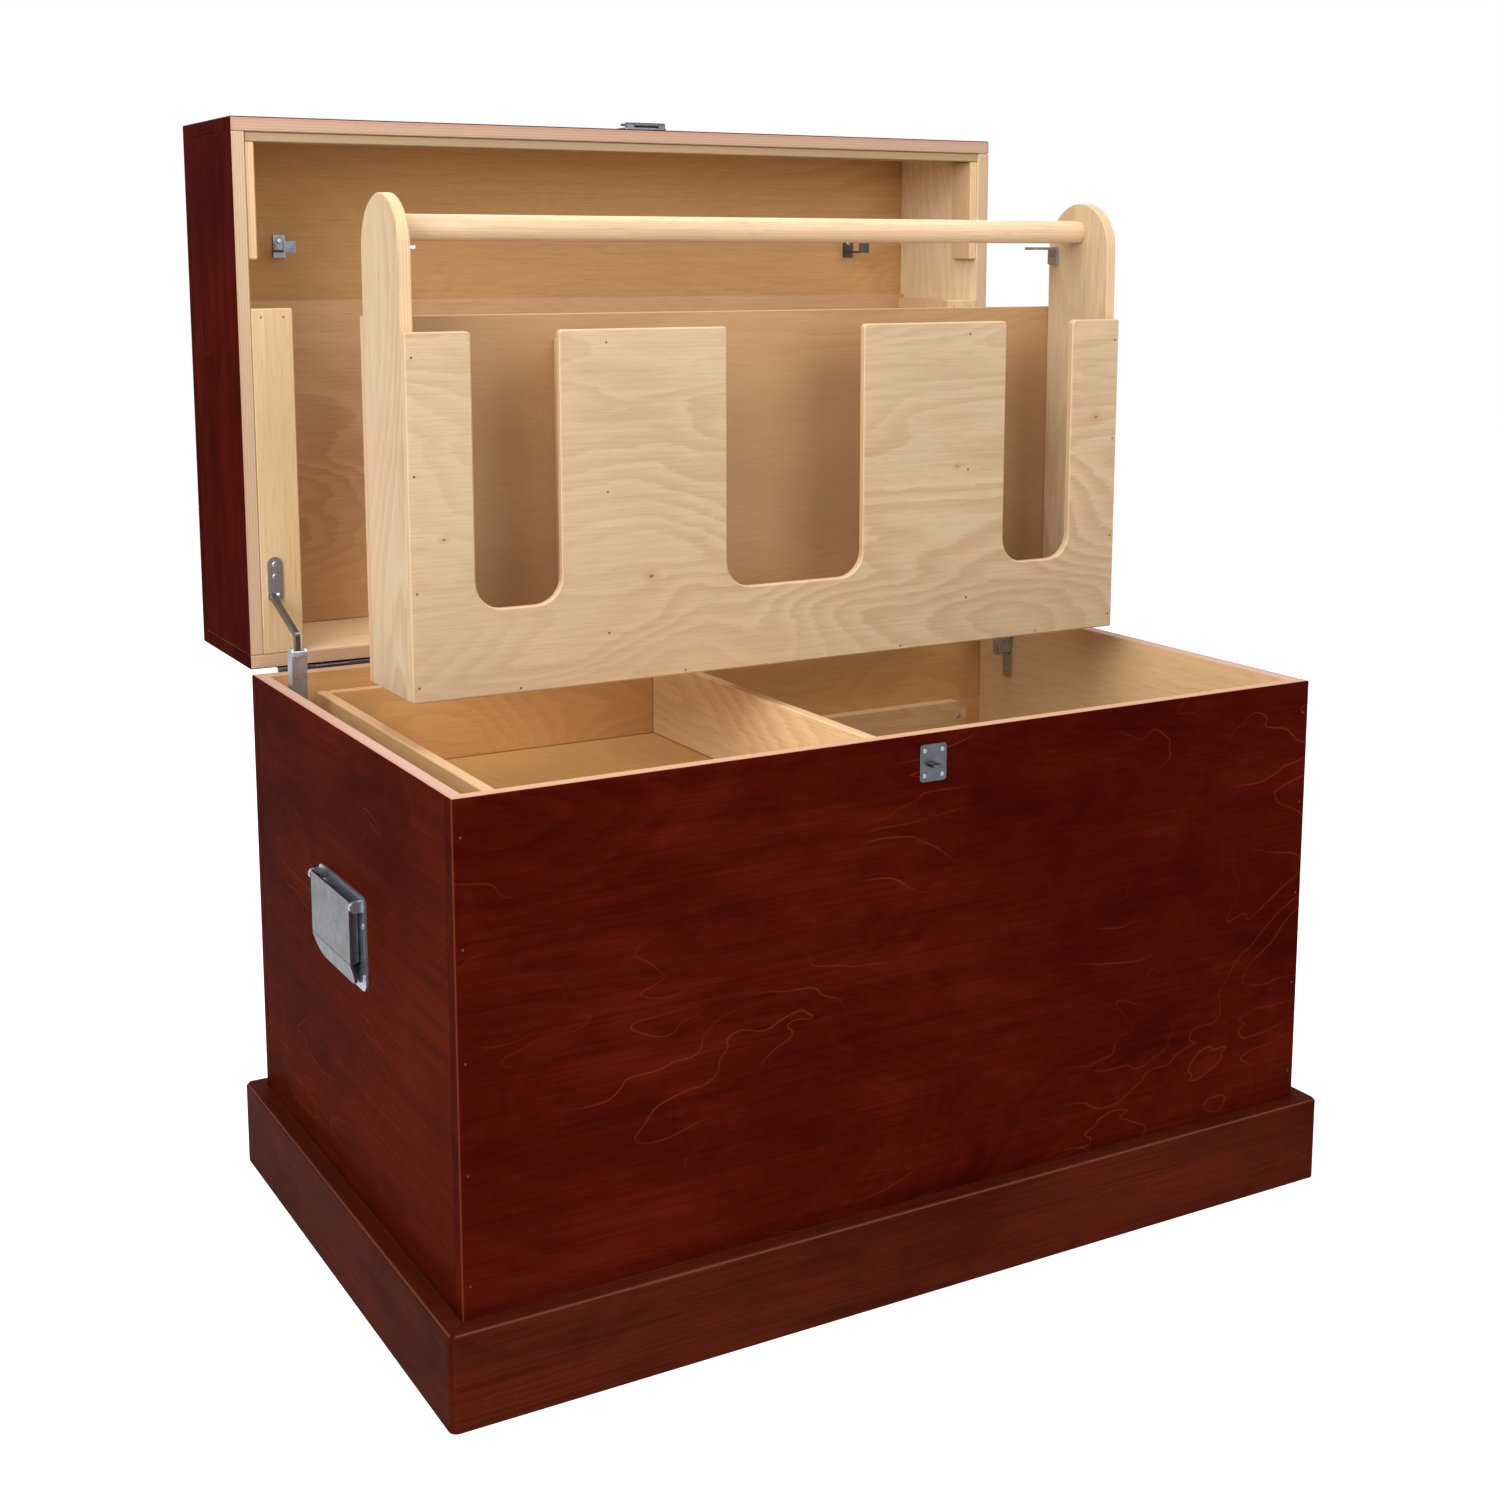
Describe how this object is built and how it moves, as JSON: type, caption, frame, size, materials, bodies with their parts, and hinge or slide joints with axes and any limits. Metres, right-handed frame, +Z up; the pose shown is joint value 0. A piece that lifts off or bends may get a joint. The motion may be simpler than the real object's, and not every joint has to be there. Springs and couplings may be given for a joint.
{
  "type": "wooden trunk",
  "caption": "Stained plywood tack trunk on a plinth, its lid held open by folding stays, with a sliding tray and a lift-out grooming tote with a dowel handle.",
  "frame": {"origin": "on the floor, under the middle of the whole with its lid open", "axes": "+Z up, the trunk's front towards -Y, its left to right along +X"},
  "size_m": [0.9992, 0.794, 1.1429],
  "materials": {
    "stain": "satin mahogany stain",
    "birch": "clear satin",
    "steel": "bright"
  },
  "bodies": {
    "trunk": {"front_panel": "stain", "back_panel": "stain", "left_panel": "stain", "right_panel": "stain", "bottom_panel": "birch", "plinth_front": "stain", "plinth_back": "stain", "plinth_left": "stain", "plinth_right": "stain", "tray_runner_front": "birch", "tray_runner_back": "birch", "hinge_leaf_trunk": "steel", "hinge_pin": "steel", "keeper": "steel", "stay_body_left": "steel", "stay_body_right": "steel", "handle_plate_left": "steel", "handle_plate_right": "steel"},
    "lid": {"lid_top_panel": "stain", "lid_back_rail": "stain", "lid_front_rail": "stain", "lid_left_side": "stain", "lid_right_side": "stain", "lid_liner": "birch", "lid_side_liner_left": "birch", "lid_side_liner_right": "birch", "lid_stay_board_left": "birch", "lid_stay_board_right": "birch", "lid_cleat_top": "birch", "lid_cleat_left": "birch", "lid_cleat_right": "birch", "hinge_leaf_lid": "steel", "hasp_plate": "steel", "stay_plate_left": "steel", "stay_plate_right": "steel", "lid_hook_left": "steel", "lid_hook_right": "steel"},
    "tray": {"tray_left": "birch", "tray_right": "birch", "tray_front": "birch", "tray_back": "birch", "tray_bottom": "birch"},
    "tote": {"tote_front": "birch", "tote_back": "birch", "tote_bottom": "birch", "tote_dowel": "birch", "tote_end_left": "birch", "tote_end_right": "birch", "tote_divider_left": "birch", "tote_divider_right": "birch", "tote_catch_left": "steel", "tote_catch_right": "steel"},
    "hasp": {"hasp_flap": "steel"},
    "stay_arm_left_body": {"stay_arm_left": "steel"},
    "stay_link_left_body": {"stay_link_left": "steel"},
    "handle_grip_left_body": {"handle_grip_left": "steel"},
    "stay_arm_right_body": {"stay_arm_right": "steel"},
    "stay_link_right_body": {"stay_link_right": "steel"},
    "handle_grip_right_body": {"handle_grip_right": "steel"}
  },
  "joints": [
    {"name": "lid_hinge", "type": "hinge", "parent": "trunk", "child": "lid", "pos_m": [0, 0.20627, 0.55075], "axis": [1, 0, 0], "range_deg": [0, 90]},
    {"name": "tote_lift", "type": "slide", "parent": "trunk", "child": "tote", "axis": [0, -0.7, 0.7141], "range_m": [0, 0.75]},
    {"name": "tray_slide", "type": "slide", "parent": "trunk", "child": "tray", "axis": [1, 0, 0], "range_m": [-0.028, 0.44]},
    {"name": "hasp_hinge", "type": "hinge", "parent": "lid", "child": "hasp", "pos_m": [0, 0.21302, 1.13985], "axis": [1, 0, 0], "range_deg": [0, 180]},
    {"name": "stay_arm_left_pivot", "type": "hinge", "parent": "trunk", "child": "stay_arm_left_body", "pos_m": [-0.465, 0.12627, 0.50175], "axis": [1, 0, 0], "range_deg": [0, 90]},
    {"name": "stay_knee_left_pivot", "type": "hinge", "parent": "stay_arm_left_body", "child": "stay_link_left_body", "pos_m": [-0.465, 0.12028, 0.58375], "axis": [1, 0, 0], "range_deg": [-90, 0]},
    {"name": "handle_left_pivot", "type": "hinge", "parent": "trunk", "child": "handle_grip_left_body", "pos_m": [-0.4898, -0.08743, 0.394], "axis": [0, 1, 0], "range_deg": [0, 90]},
    {"name": "stay_arm_right_pivot", "type": "hinge", "parent": "trunk", "child": "stay_arm_right_body", "pos_m": [0.465, 0.12627, 0.50175], "axis": [1, 0, 0], "range_deg": [0, 90]},
    {"name": "stay_knee_right_pivot", "type": "hinge", "parent": "stay_arm_right_body", "child": "stay_link_right_body", "pos_m": [0.465, 0.12028, 0.58375], "axis": [1, 0, 0], "range_deg": [-90, 0]},
    {"name": "handle_right_pivot", "type": "hinge", "parent": "trunk", "child": "handle_grip_right_body", "pos_m": [0.4898, -0.08743, 0.394], "axis": [0, -1, 0], "range_deg": [0, 90]}
  ],
  "couplings": [
    {"joint": "tote_lift", "follows": "lid_hinge", "m_per_rad": 0.47746},
    {"joint": "stay_arm_left_pivot", "follows": "lid_hinge", "ratio": 1},
    {"joint": "stay_knee_left_pivot", "follows": "lid_hinge", "ratio": -1},
    {"joint": "stay_arm_right_pivot", "follows": "lid_hinge", "ratio": 1},
    {"joint": "stay_knee_right_pivot", "follows": "lid_hinge", "ratio": -1}
  ]
}
